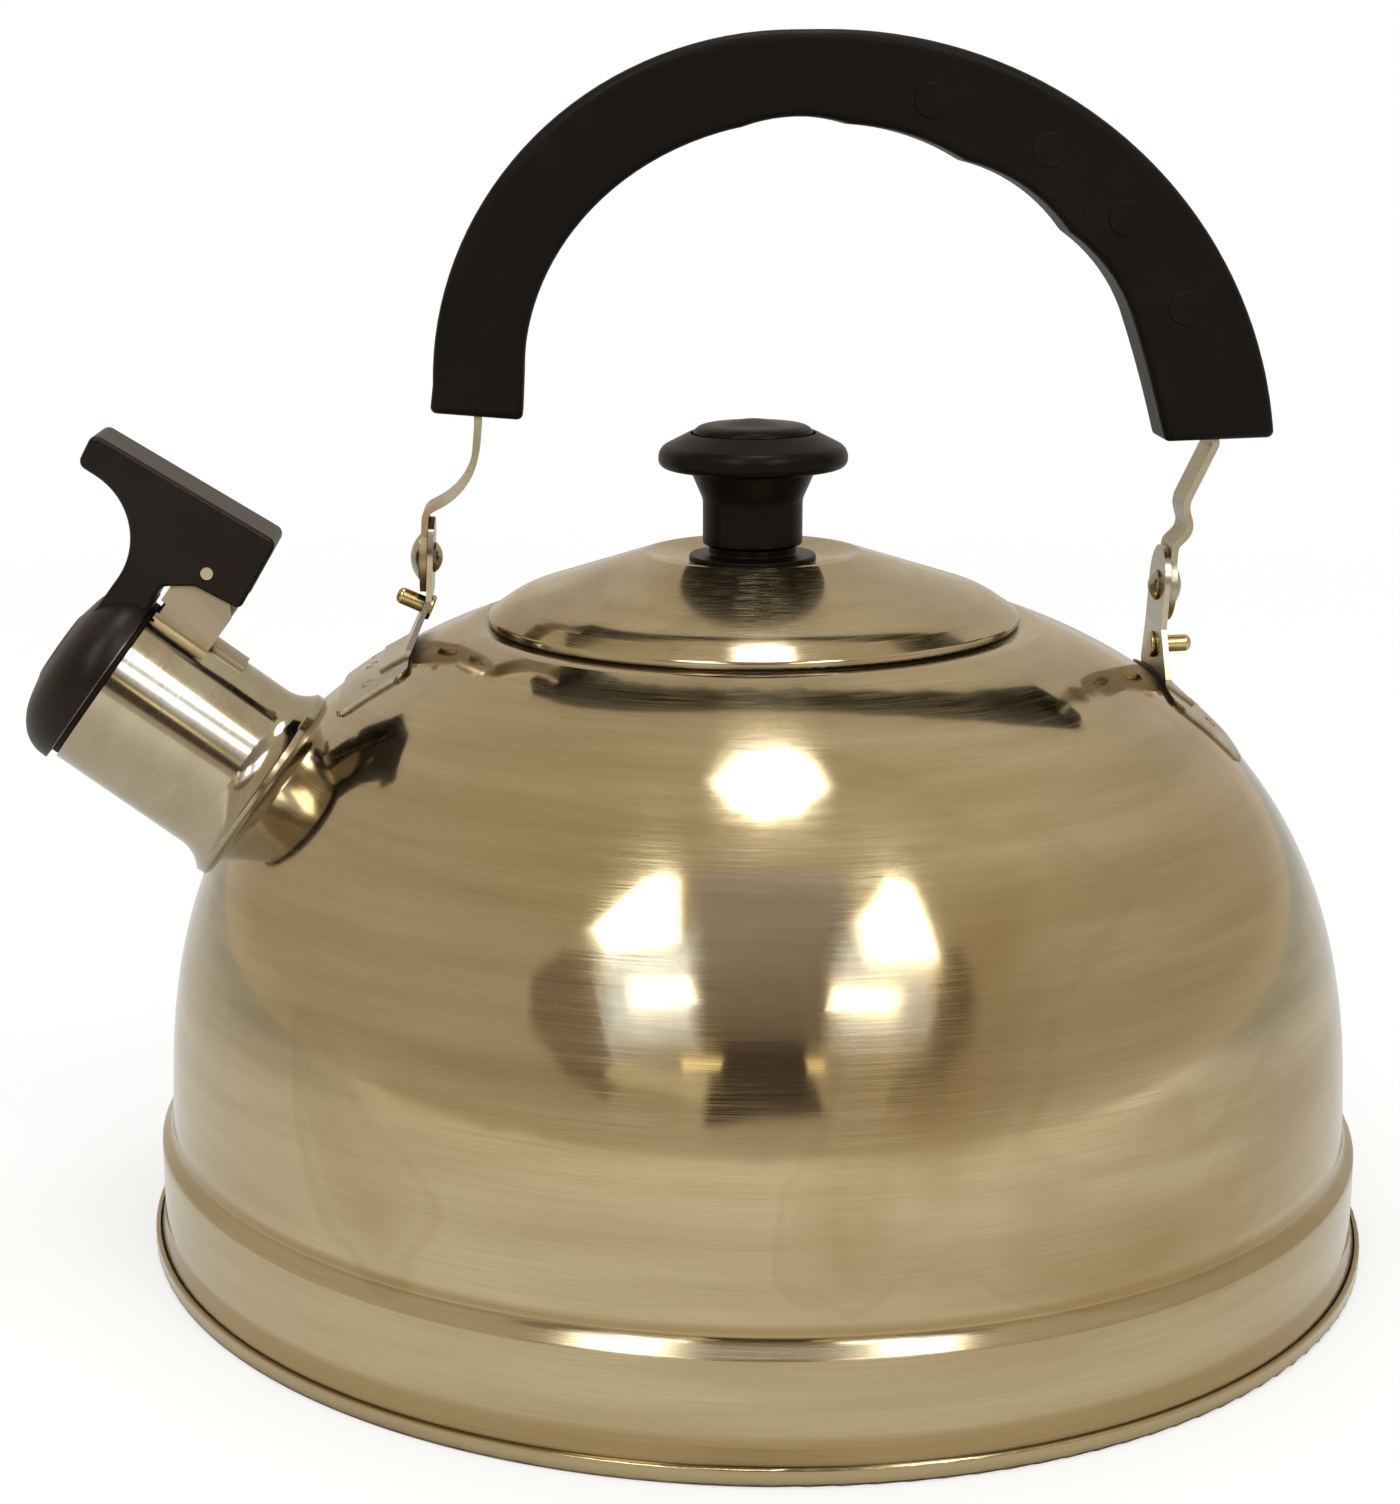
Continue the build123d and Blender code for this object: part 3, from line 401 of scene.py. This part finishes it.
def makeSteel(name, look):
    material, tree, shader, coords = startMaterial(name)
    if look["axis"]:
        foot, lean = look["axis"]
        turn = Euler((0.0, math.radians(lean), 0.0))
        mapping = putNode(tree, "ShaderNodeMapping",
                          {"Location": -(turn.to_matrix() @ Vector(foot)), "Rotation": turn})
        feed(tree, mapping.inputs["Vector"], coords)
        coords = mapping.outputs[0]
    spun = placeGroup(tree, spunLines, coords, Fineness=look["lines"])
    water = placeGroup(tree, waterMarks, coords, Scale=look["marks"], Cover=look["cover"])
    scratches = placeGroup(tree, hairlines, coords)[0]
    paintedShade = placeGroup(tree, seamGrime, coords, Reach=look["seam"])[0]

    bandStart, bandEnd = look["bands"]
    bands = rampNode(tree, spun["Bands"], [(bandStart, 0.0), (bandEnd, 1.0)])
    color = mixColor(tree, bands, look["base"], look["light"])
    spots = plus(tree, times(tree, water["Patches"], look["patchStain"]),
                 times(tree, water["Rims"], look["rimStain"]))
    rubbed = 0.0
    # a ring adds roughness and the stain colour; in the shell's hollow that colour is painted
    # shade
    for start, end, added, stainAndShade in look["rings"]:
        ring = placeGroup(tree, heightRing, coords, From=start, To=end)[0]
        spots = plus(tree, spots, times(tree, ring, stainAndShade))
        rubbed = plus(tree, times(tree, ring, added), rubbed)
    stainedAndShaded = mixColor(tree, clampNode(tree, spots), color, look["stainAndShade"])
    fine = rampNode(tree, spun["Lines"], look["lineShades"])
    lined = mixColor(tree, look["lineShare"], stainedAndShaded, fine, "MULTIPLY")
    # painted shade: the base colour darkens where surfaces meet, by the ambient occlusion mask
    feed(tree, shader["Base Color"], mixColor(tree, paintedShade, lined, look["paintedShade"]))

    hazeStart, hazeEnd = look["haze"]
    rough = rampNode(tree, spun["Haze"],
                     [(hazeStart, look["polished"]), (hazeEnd, look["brushed"])])
    dull = plus(tree, times(tree, water["Patches"], look["patchDull"]),
                times(tree, paintedShade, look["creaseDull"]))
    feed(tree, shader["Roughness"], plus(tree, plus(tree, rough, dull), rubbed))
    height = plus(tree, spun["Lines"], times(tree, scratches, look["scratches"]))
    addBump(tree, shader, look, height)
    shader["Metallic"].default_value = 1.0
    shader["Anisotropic"].default_value = look["streak"]
    shader["Anisotropic Rotation"].default_value = look["streakTurn"]
    tangent = putNode(tree, "ShaderNodeTangent", direction_type="RADIAL", axis="Z")
    feed(tree, shader["Tangent"], tangent.outputs[0])
    return material


def makePlastic(name, look):
    material, tree, shader, coords = startMaterial(name)
    grain, cloud = (noiseNode(tree, coords, scale, look["detail"], look["noiseRoughness"])
                    for scale in (look["grain"], look["clouds"]))
    edges = placeGroup(tree, edgeWear, coords, Radius=look["edge"])[0]
    dusty = rampNode(tree, cloud, look["dust"])
    worn = clampNode(tree, plus(tree, dusty, times(tree, edges, look["edgeWear"])))
    feed(tree, shader["Base Color"], mixColor(tree, worn, look["base"], look["worn"]))
    least, swing = look["uneven"]
    rough = plus(tree, look["roughness"] + least, times(tree, cloud, swing))
    feed(tree, shader["Roughness"], rough)
    addBump(tree, shader, look, grain)
    shader["Specular IOR Level"].default_value = look["specular"]
    shader["Specular Tint"].default_value = (*look["sheen"], 1)
    return material


materials = {name: makeSteel(name, dict(steelLook, **look)) for name, look in steels.items()}
for name, look in plastics.items():
    materials[name] = makePlastic(name, dict(plasticLook, **look))
for name, piece in cadNodes.items():
    piece.data.materials.clear()
    piece.data.materials.append(materials[finishOf.get(name, "plainSteel")])
print("finishes on")

# spot welds: a shallow raised ring round each one, standing along the sheet's own normal.
# A row starts at a point in XZ off the sheet, looks for the sheet along a way in XZ, and has
# a weld at each Y.
weldLook = {
    "ring": 0.00115, "wire": 0.00007, "ringSides": 24, "wireSides": 8,
    "uneven": (0.85, 1.1), "seed": 5,
    "rows": {
        "whistle_bracket": ((-0.0957, 0.1170), (-0.595, -0.804), (-0.0019, 0.0019)),
        "handle_bracket_left": ((-0.068, 0.16), (0, -1), (-0.0125, 0.0, 0.0125)),
        "handle_bracket_right": ((0.0795, 0.16), (0, -1), (-0.0125, 0.0, 0.0125)),
    },
}


def makeWeldRings(look):
    group = bpy.data.node_groups.new("weldRings", "GeometryNodeTree")
    inputs = {"Geometry": "NodeSocketGeometry", "Ring": "NodeSocketFloat",
              "Wire": "NodeSocketFloat", "Seed": "NodeSocketInt", "Material": "NodeSocketMaterial"}
    identifiers = {
        name: group.interface.new_socket(name, in_out="INPUT", socket_type=kind).identifier
        for name, kind in inputs.items()
    }
    group.interface.new_socket("Geometry", in_out="OUTPUT", socket_type="NodeSocketGeometry")
    link = group.links.new
    given, result = group.nodes.new("NodeGroupInput"), group.nodes.new("NodeGroupOutput")
    circle = "GeometryNodeCurvePrimitiveCircle"
    ring = putNode(group, circle, {"Resolution": look["ringSides"]})
    wire = putNode(group, circle, {"Resolution": look["wireSides"]})
    link(given.outputs["Ring"], ring.inputs["Radius"])
    link(given.outputs["Wire"], wire.inputs["Radius"])
    tube = putNode(group, "GeometryNodeCurveToMesh")
    link(ring.outputs[0], tube.inputs["Curve"])
    link(wire.outputs[0], tube.inputs["Profile Curve"])
    outward = putNode(group, "GeometryNodeInputNamedAttribute", {"Name": "outward"},
                      data_type="FLOAT_VECTOR")
    stand = putNode(group, "FunctionNodeAlignRotationToVector", axis="Z")
    link(outward.outputs["Attribute"], stand.inputs["Vector"])
    uneven = putNode(group, "FunctionNodeRandomValue", data_type="FLOAT")
    limits = [socket for socket in uneven.inputs if socket.type == "VALUE"]
    for socket, value in zip(limits, look["uneven"]):
        socket.default_value = value
    link(given.outputs["Seed"], uneven.inputs["Seed"])
    sizes = [socket for socket in uneven.outputs if socket.type == "VALUE"]
    spread = putNode(group, "GeometryNodeInstanceOnPoints")
    link(given.outputs["Geometry"], spread.inputs["Points"])
    link(tube.outputs[0], spread.inputs["Instance"])
    link(stand.outputs[0], spread.inputs["Rotation"])
    link(sizes[0], spread.inputs["Scale"])
    realize = putNode(group, "GeometryNodeRealizeInstances")
    smooth = putNode(group, "GeometryNodeSetShadeSmooth")
    finish = putNode(group, "GeometryNodeSetMaterial")
    link(given.outputs["Material"], finish.inputs["Material"])
    chain = (spread, realize, smooth, finish, result)
    for before, after in zip(chain, chain[1:]):
        link(before.outputs[0], after.inputs[0])
    return group, identifiers


def makeWelds(look):
    spots, normals = [], []
    for name, ((startX, startZ), (wayX, wayZ), places) in look["rows"].items():
        piece = cadNodes[name]
        sheet = BVHTree.FromPolygons(
            [piece.matrix_world @ vertex.co for vertex in piece.data.vertices],
            [face.vertices for face in piece.data.polygons])
        for y in places:
            spot, normal = sheet.ray_cast(Vector((startX, y, startZ)), Vector((wayX, 0, wayZ)))[:2]
            if spot is None:
                print("no sheet under a weld of", name)
                continue
            spots.append(spot)
            normals.extend(normal)
    points = bpy.data.meshes.new("weldPoints")
    points.from_pydata(spots, [], [])
    points.attributes.new("outward", "FLOAT_VECTOR", "POINT").data.foreach_set("vector", normals)
    holder = bpy.data.objects.new("weldPoints", points)
    sceneNow.collection.objects.link(holder)
    group, identifiers = makeWeldRings(look)
    rings = holder.modifiers.new("rings", "NODES")
    rings.node_group = group
    given = {"Ring": look["ring"], "Wire": look["wire"], "Seed": look["seed"],
             "Material": materials["plainSteel"]}
    for name, value in given.items():
        rings[identifiers[name]] = value
    bpy.context.view_layer.update()
    evaluated = holder.evaluated_get(bpy.context.evaluated_depsgraph_get())
    made = bpy.data.meshes.new_from_object(evaluated)
    bpy.data.objects.remove(holder)
    welds = bpy.data.objects.new("spotWelds", made)
    sceneNow.collection.objects.link(welds)
    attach(welds, "kettle")
    print("spot welds placed,", len(spots))


makeWelds(weldLook)

# the lever's spring, copied with the corners of the mesh that lie within the merge distance made
# one.
# On the kettle it winds up as the lever opens: its rear leg stays on the saddle, and its front one
# turns. still and turning are the Y places of these legs.
springLook = {"still": 0.0014, "turning": -0.0013, "merge": 0.000005}


def makeWindingSpring(look):
    wire = cadNodes["lever_spring"].data.copy()
    wire.transform(cadNodes["lever_spring"].matrix_world)
    shape = bmesh.new()
    shape.from_mesh(wire)
    bmesh.ops.remove_doubles(shape, verts=shape.verts, dist=look["merge"])
    shape.to_mesh(wire)
    shape.free()
    spring = bpy.data.objects.new("windingSpring", wire)
    sceneNow.collection.objects.link(spring)
    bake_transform(spring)
    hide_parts("lever_spring")
    print("spring set over the pin")


makeWindingSpring(springLook)

# floor and world: white to the camera and in reflections, with the kettle's shadow left on
# the floor
floorLook = {
    "size": 8.0, "color": (0.86, 0.855, 0.84), "roughness": 0.9, "specular": 0.1,
    "glow": 0.64,                   # share of plain white over the shadow near the kettle
    "shadowReach": (0.35, 0.9),     # from the first radius the glow grows, to white at the second
    "front": (1.28, 1.28, 1.26), "back": (0.6, 0.6, 0.58),      # the floor as the steel mirrors it
    "depth": (1.6, 0.7),            # how fast and where it passes from front to back along Y
}
worldLook = {"light": (0.72, 0.71, 0.68), "seen": (1.0, 1.0, 1.0)}


# 1 for what the camera sees straight, or in a reflection, or through glass
def seenMask(tree):
    rays = putNode(tree, "ShaderNodeLightPath").outputs
    mask = mathNode(tree, "MAXIMUM", rays["Is Camera Ray"], rays["Is Glossy Ray"])
    return rays, mathNode(tree, "MAXIMUM", mask, rays["Is Transmission Ray"])


def makeFloor(look):
    half = look["size"] / 2
    corners = [(-half, -half, 0), (half, -half, 0), (half, half, 0), (-half, half, 0)]
    mesh = bpy.data.meshes.new("floor")
    mesh.from_pydata(corners, [], [(0, 1, 2, 3)])
    floor = bpy.data.objects.new("floor", mesh)
    sceneNow.collection.objects.link(floor)
    material, tree, shader, place = startMaterial("palePaper")
    shader["Base Color"].default_value = (*look["color"], 1)
    shader["Roughness"].default_value = look["roughness"]
    shader["Specular IOR Level"].default_value = look["specular"]
    paper = tree.nodes["Principled BSDF"].outputs[0]
    rays, seen = seenMask(tree)
    rate, shift = look["depth"]
    depth = plus(tree, times(tree, splitNode(tree, place)["Y"], rate), shift)
    mirrored = mixColor(tree, clampNode(tree, depth), look["front"], look["back"])
    white = putNode(tree, "ShaderNodeEmission", {"Strength": 1.0})
    feed(tree, white.inputs["Color"],
         mixColor(tree, rays["Is Camera Ray"], mirrored, (1.0, 1.0, 1.0)))
    away = putNode(tree, "ShaderNodeVectorMath", operation="LENGTH")
    feed(tree, away.inputs[0], place)
    near, far = look["shadowReach"]
    fade = rampNode(tree, divided(tree, away.outputs["Value"], far),
                    [(near / far, look["glow"]), (1.0, 1.0)])
    mixShaders(tree, times(tree, seen, fade), paper, white.outputs[0])
    mesh.materials.append(material)


def makeWorld(look):
    world = bpy.data.worlds.new("studio")
    sceneNow.world = world
    world.use_nodes = True
    tree = world.node_tree
    seen = seenMask(tree)[1]
    feed(tree, tree.nodes["Background"].inputs["Color"],
         mixColor(tree, seen, look["light"], look["seen"]))


makeFloor(floorLook)
makeWorld(worldLook)

# soft lamps that light the room; the steel sees the panels and cards below instead
lampAim = (0.0, 0.0, 0.08)
lampLooks = {
    "overhead": {"place": (0.05, 0.10, 1.6), "size": (1.0, 1.0), "power": 9.0},
    "nearLeft": {"place": (-0.72, -1.05, 1.6), "size": (0.8, 0.8), "power": 7.0},
    "nearRight": {"place": (0.72, -1.05, 1.6), "size": (0.8, 0.8), "power": 7.0},
}


def makeLamp(name, look):
    lamp = bpy.data.lights.new(name, "AREA")
    lamp.shape = "RECTANGLE"
    lamp.size, lamp.size_y = look["size"]
    lamp.energy = look["power"]
    holder = bpy.data.objects.new(name, lamp)
    holder.location = look["place"]
    aim = Vector(lampAim) - holder.location
    holder.rotation_euler = aim.to_track_quat("-Z", "Y").to_euler()
    holder.visible_glossy = False
    sceneNow.collection.objects.link(holder)


for name, look in lampLooks.items():
    makeLamp(name, look)

# what the polished steel mirrors: window panels and dark cards round the table. Each corner is
# a bearing to the right of the front and a height in degrees, seen from the kettle; away is the
# card's distance, and soft is how many degrees it takes to fade out past its corners.
roomCards = {
    "ceilingPanel": {
        "corners": [(-128, 85), (-179, 81), (158, 78), (130, 80), (98, 81), (47, 82), (10, 83),
                    (-35, 86)],
        "color": (0.88, 0.92, 1.0), "strength": 18.0, "away": 1.5, "soft": 4.5},
    "leftWindow": {
        "corners": [(-42.6, 46.6), (-35.5, 61.6), (-29.4, 60.6), (-23.2, 47.6), (-36.6, 42.7)],
        "color": (0.88, 0.94, 1.0), "strength": 14.0, "away": 1.5, "soft": 6.0},
    "rightWindow": {
        "corners": [(39, 57.5), (42.4, 53.4), (38.5, 38.8), (24.1, 42.5), (26.3, 50.2)],
        "color": (0.88, 0.94, 1.0), "strength": 14.0, "away": 1.5, "soft": 6.0},
    "leftLamp": {
        "corners": [(-28.4, 35.2), (-17.4, 36.7), (-15.2, 32.1), (-25.8, 29.0)],
        "color": (0.93, 0.97, 1.0), "strength": 10.0, "away": 1.5, "soft": 4.5},
    "rightLamp": {
        "corners": [(15.0, 34.8), (26.2, 32.2), (23.5, 27.5), (12.6, 29.4)],
        "color": (0.96, 0.98, 1.0), "strength": 9.0, "away": 1.5, "soft": 4.5},
    "leftShelfLamp": {
        "corners": [(-16.0, 18.5), (-9.1, 19.0), (-8.7, 16.6), (-15.2, 15.8)],
        "color": (1.0, 0.88, 0.55), "strength": 2.4, "away": 1.5, "soft": 1.2},
    "rightShelfLamp": {
        "corners": [(7.4, 18.6), (10.0, 18.4), (9.9, 16.0), (7.2, 16.2)],
        "color": (1.0, 0.88, 0.55), "strength": 2.2, "away": 1.5, "soft": 1.2},
    "leftShelf": {
        "corners": [(-29.5, 13.0), (-10.5, 9.5), (-10.5, 14.0), (-27.0, 16.0)],
        "color": (1.0, 0.96, 0.8), "strength": 1.1, "away": 1.55, "soft": 2.0},
    "leftGlow": {
        "corners": [(-35.5, 41.5), (-19.0, 45.0), (-16.2, 27.0), (-29.0, 24.0)],
        "color": (0.6, 0.7, 0.98), "strength": 2.4, "away": 1.58, "soft": 9.0},
    "rightGlow": {
        "corners": [(18.0, 44.0), (35.0, 39.0), (29.0, 24.0), (16.0, 26.0)],
        "color": (0.6, 0.7, 0.98), "strength": 2.2, "away": 1.58, "soft": 9.0},
    "frontCard": {
        "corners": [(-22, 64), (27, 62), (15, 44), (9.2, 20.4), (-11.2, 20.6), (-14.5, 45)],
        "color": (0.27, 0.22, 0.17), "upper": (0.62, 0.60, 0.66), "strength": 1.0,
        "away": 1.54, "soft": 5.0},
    "lowCard": {
        "corners": [(-9.0, 24), (5.4, 24), (9.1, 7.4), (-10.9, 5.9)],
        "color": (0.10, 0.075, 0.07), "strength": 1.0, "away": 1.52, "soft": 2.5},
    "leftCard": {
        "corners": [(-45.5, 38), (-48.6, 29.5), (-44.1, 20.4), (-37.3, 12.3), (-30, 9.1),
                    (-26.6, 13.4), (-32.3, 21.0), (-36.8, 29.5), (-40.0, 38.0)],
        "color": (0.36, 0.29, 0.23), "strength": 1.0, "away": 1.56, "soft": 2.5},
    "rightCard": {
        "corners": [(43.4, 38), (40.8, 27.3), (36.9, 19.5), (30.5, 11.6), (21.5, 8.8),
                    (22.5, 13.0), (28.5, 18.5), (33, 26), (37, 37)],
        "color": (0.31, 0.26, 0.22), "strength": 1.0, "away": 1.56, "soft": 2.5},
}
# a card over the bright strength fades fast past its corners, and the others fade slowly
cardFade = {"centre": (0.0, 0.0, 0.06), "bright": 4, "fast": 4.5, "slow": 1.3}


# a stage piece that only reflections see
def addMirrored(name, mesh, material):
    mesh.materials.append(material)
    piece = bpy.data.objects.new(name, mesh)
    for kind in ("camera", "diffuse", "transmission", "shadow", "volume_scatter"):
        setattr(piece, "visible_" + kind, False)
    sceneNow.collection.objects.link(piece)


def glowMaterial(name, color, strength):
    material = bpy.data.materials.new(name)
    material.use_nodes = True
    tree = material.node_tree
    tree.nodes.remove(tree.nodes["Principled BSDF"])
    glow = putNode(tree, "ShaderNodeEmission", {"Color": (*color, 1), "Strength": strength})
    feed(tree, tree.nodes["Material Output"].inputs[0], glow.outputs[0])
    return material, tree, glow


def placeInside(tree):
    return splitNode(tree, putNode(tree, "ShaderNodeTexCoord").outputs["Object"])


def cardMesh(name, corners, reach):
    middle = sum(corners, Vector()) / len(corners)
    rim = [corner + (corner - middle).normalized() * reach for corner in corners]
    count = len(corners)
    faces = [tuple(range(count))]
    for here in range(count):
        after = (here + 1) % count
        faces.append((here, after, after + count, here + count))
    mesh = bpy.data.meshes.new(name)
    mesh.from_pydata(corners + rim, [], faces)
    fade = mesh.attributes.new("fade", "FLOAT", "POINT")
    fade.data.foreach_set("value", [1.0] * count + [0.0] * count)
    return mesh


def makeCard(name, card, fading):
    corners = []
    for bearing, height in card["corners"]:
        turn, rise = math.radians(bearing), math.radians(height)
        toward = Vector((math.sin(turn) * math.cos(rise), -math.cos(turn) * math.cos(rise),
                         math.sin(rise)))
        corners.append(Vector(fading["centre"]) + toward * card["away"])
    mesh = cardMesh(name, corners, card["away"] * math.radians(card["soft"]))
    material, tree, glow = glowMaterial(name, card["color"], card["strength"])
    if "upper" in card:
        low, high = min(corner.z for corner in corners), max(corner.z for corner in corners)
        risen = minus(tree, placeInside(tree)["Z"], low)
        share = clampNode(tree, divided(tree, risen, high - low))
        feed(tree, glow.inputs["Color"], mixColor(tree, share, card["color"], card["upper"]))
    fade = putNode(tree, "ShaderNodeAttribute", attribute_name="fade").outputs["Fac"]
    power = fading["fast"] if card["strength"] > fading["bright"] else fading["slow"]
    clear = putNode(tree, "ShaderNodeBsdfTransparent")
    mixShaders(tree, mathNode(tree, "POWER", fade, power), clear.outputs[0], glow.outputs[0])
    addMirrored(name, mesh, material)


for name, card in roomCards.items():
    makeCard(name, card, cardFade)

# the room's walls and ceiling, brighter overhead on the right. The heights and the width are
# shares of the radius, and what lies below the floor is cut off.
roomLook = {
    "radius": 3.0, "segments": (48, 24), "below": -0.01,
    "low": (0.78, 0.72, 0.61), "wall": (0.68, 0.60, 0.49), "middle": (0.72, 0.67, 0.58),
    "ceilingLeft": (0.70, 0.62, 0.50), "ceilingRight": (0.92, 0.88, 0.78),
    "wallHeight": 0.12, "middleHeight": 0.45, "ceilingHeight": 0.8, "ceilingWidth": 1.4,
}


def makeRoom(look):
    mesh = bpy.data.meshes.new("room")
    shape = bmesh.new()
    around, upward = look["segments"]
    bmesh.ops.create_uvsphere(shape, u_segments=around, v_segments=upward, radius=look["radius"])
    under = [vertex for vertex in shape.verts if vertex.co.z < look["below"]]
    bmesh.ops.delete(shape, geom=under, context="VERTS")
    shape.to_mesh(mesh)
    shape.free()
    material, tree, glow = glowMaterial("roomLight", (1.0, 1.0, 1.0), 1.0)
    place = placeInside(tree)
    share = divided(tree, place["Z"], look["radius"])
    walls = rampNode(tree, share, [(0.0, look["low"]), (look["wallHeight"], look["wall"]),
                                   (look["middleHeight"], look["middle"])])
    width = look["radius"] * look["ceilingWidth"]
    across = plus(tree, divided(tree, place["X"], width), 0.5)
    ceiling = mixColor(tree, clampNode(tree, across), look["ceilingLeft"], look["ceilingRight"])
    raised = rampNode(tree, share, [(look["middleHeight"], 0.0), (look["ceilingHeight"], 1.0)])
    feed(tree, glow.inputs["Color"], mixColor(tree, raised, walls, ceiling))
    addMirrored("room", mesh, material)


makeRoom(roomLook)
print("floor, room and lamps set")

cameraLook = {"place": (-0.03344, -0.47826, 0.20085), "turn": (76.563, 0.610, -0.019),
              "lens": 65.26, "sensor": 36.0, "shift": 0.0931, "nearest": 0.02}


def makeCamera(look):
    data = bpy.data.cameras.new("camera")
    data.sensor_fit = "VERTICAL"
    data.sensor_height = look["sensor"]
    data.lens = look["lens"]
    data.shift_x = look["shift"]
    data.clip_start = look["nearest"]
    camera = bpy.data.objects.new("camera", data)
    camera.location = look["place"]
    camera.rotation_euler = Euler([math.radians(angle) for angle in look["turn"]])
    sceneNow.collection.objects.link(camera)
    sceneNow.camera = camera


makeCamera(cameraLook)
print("camera set")
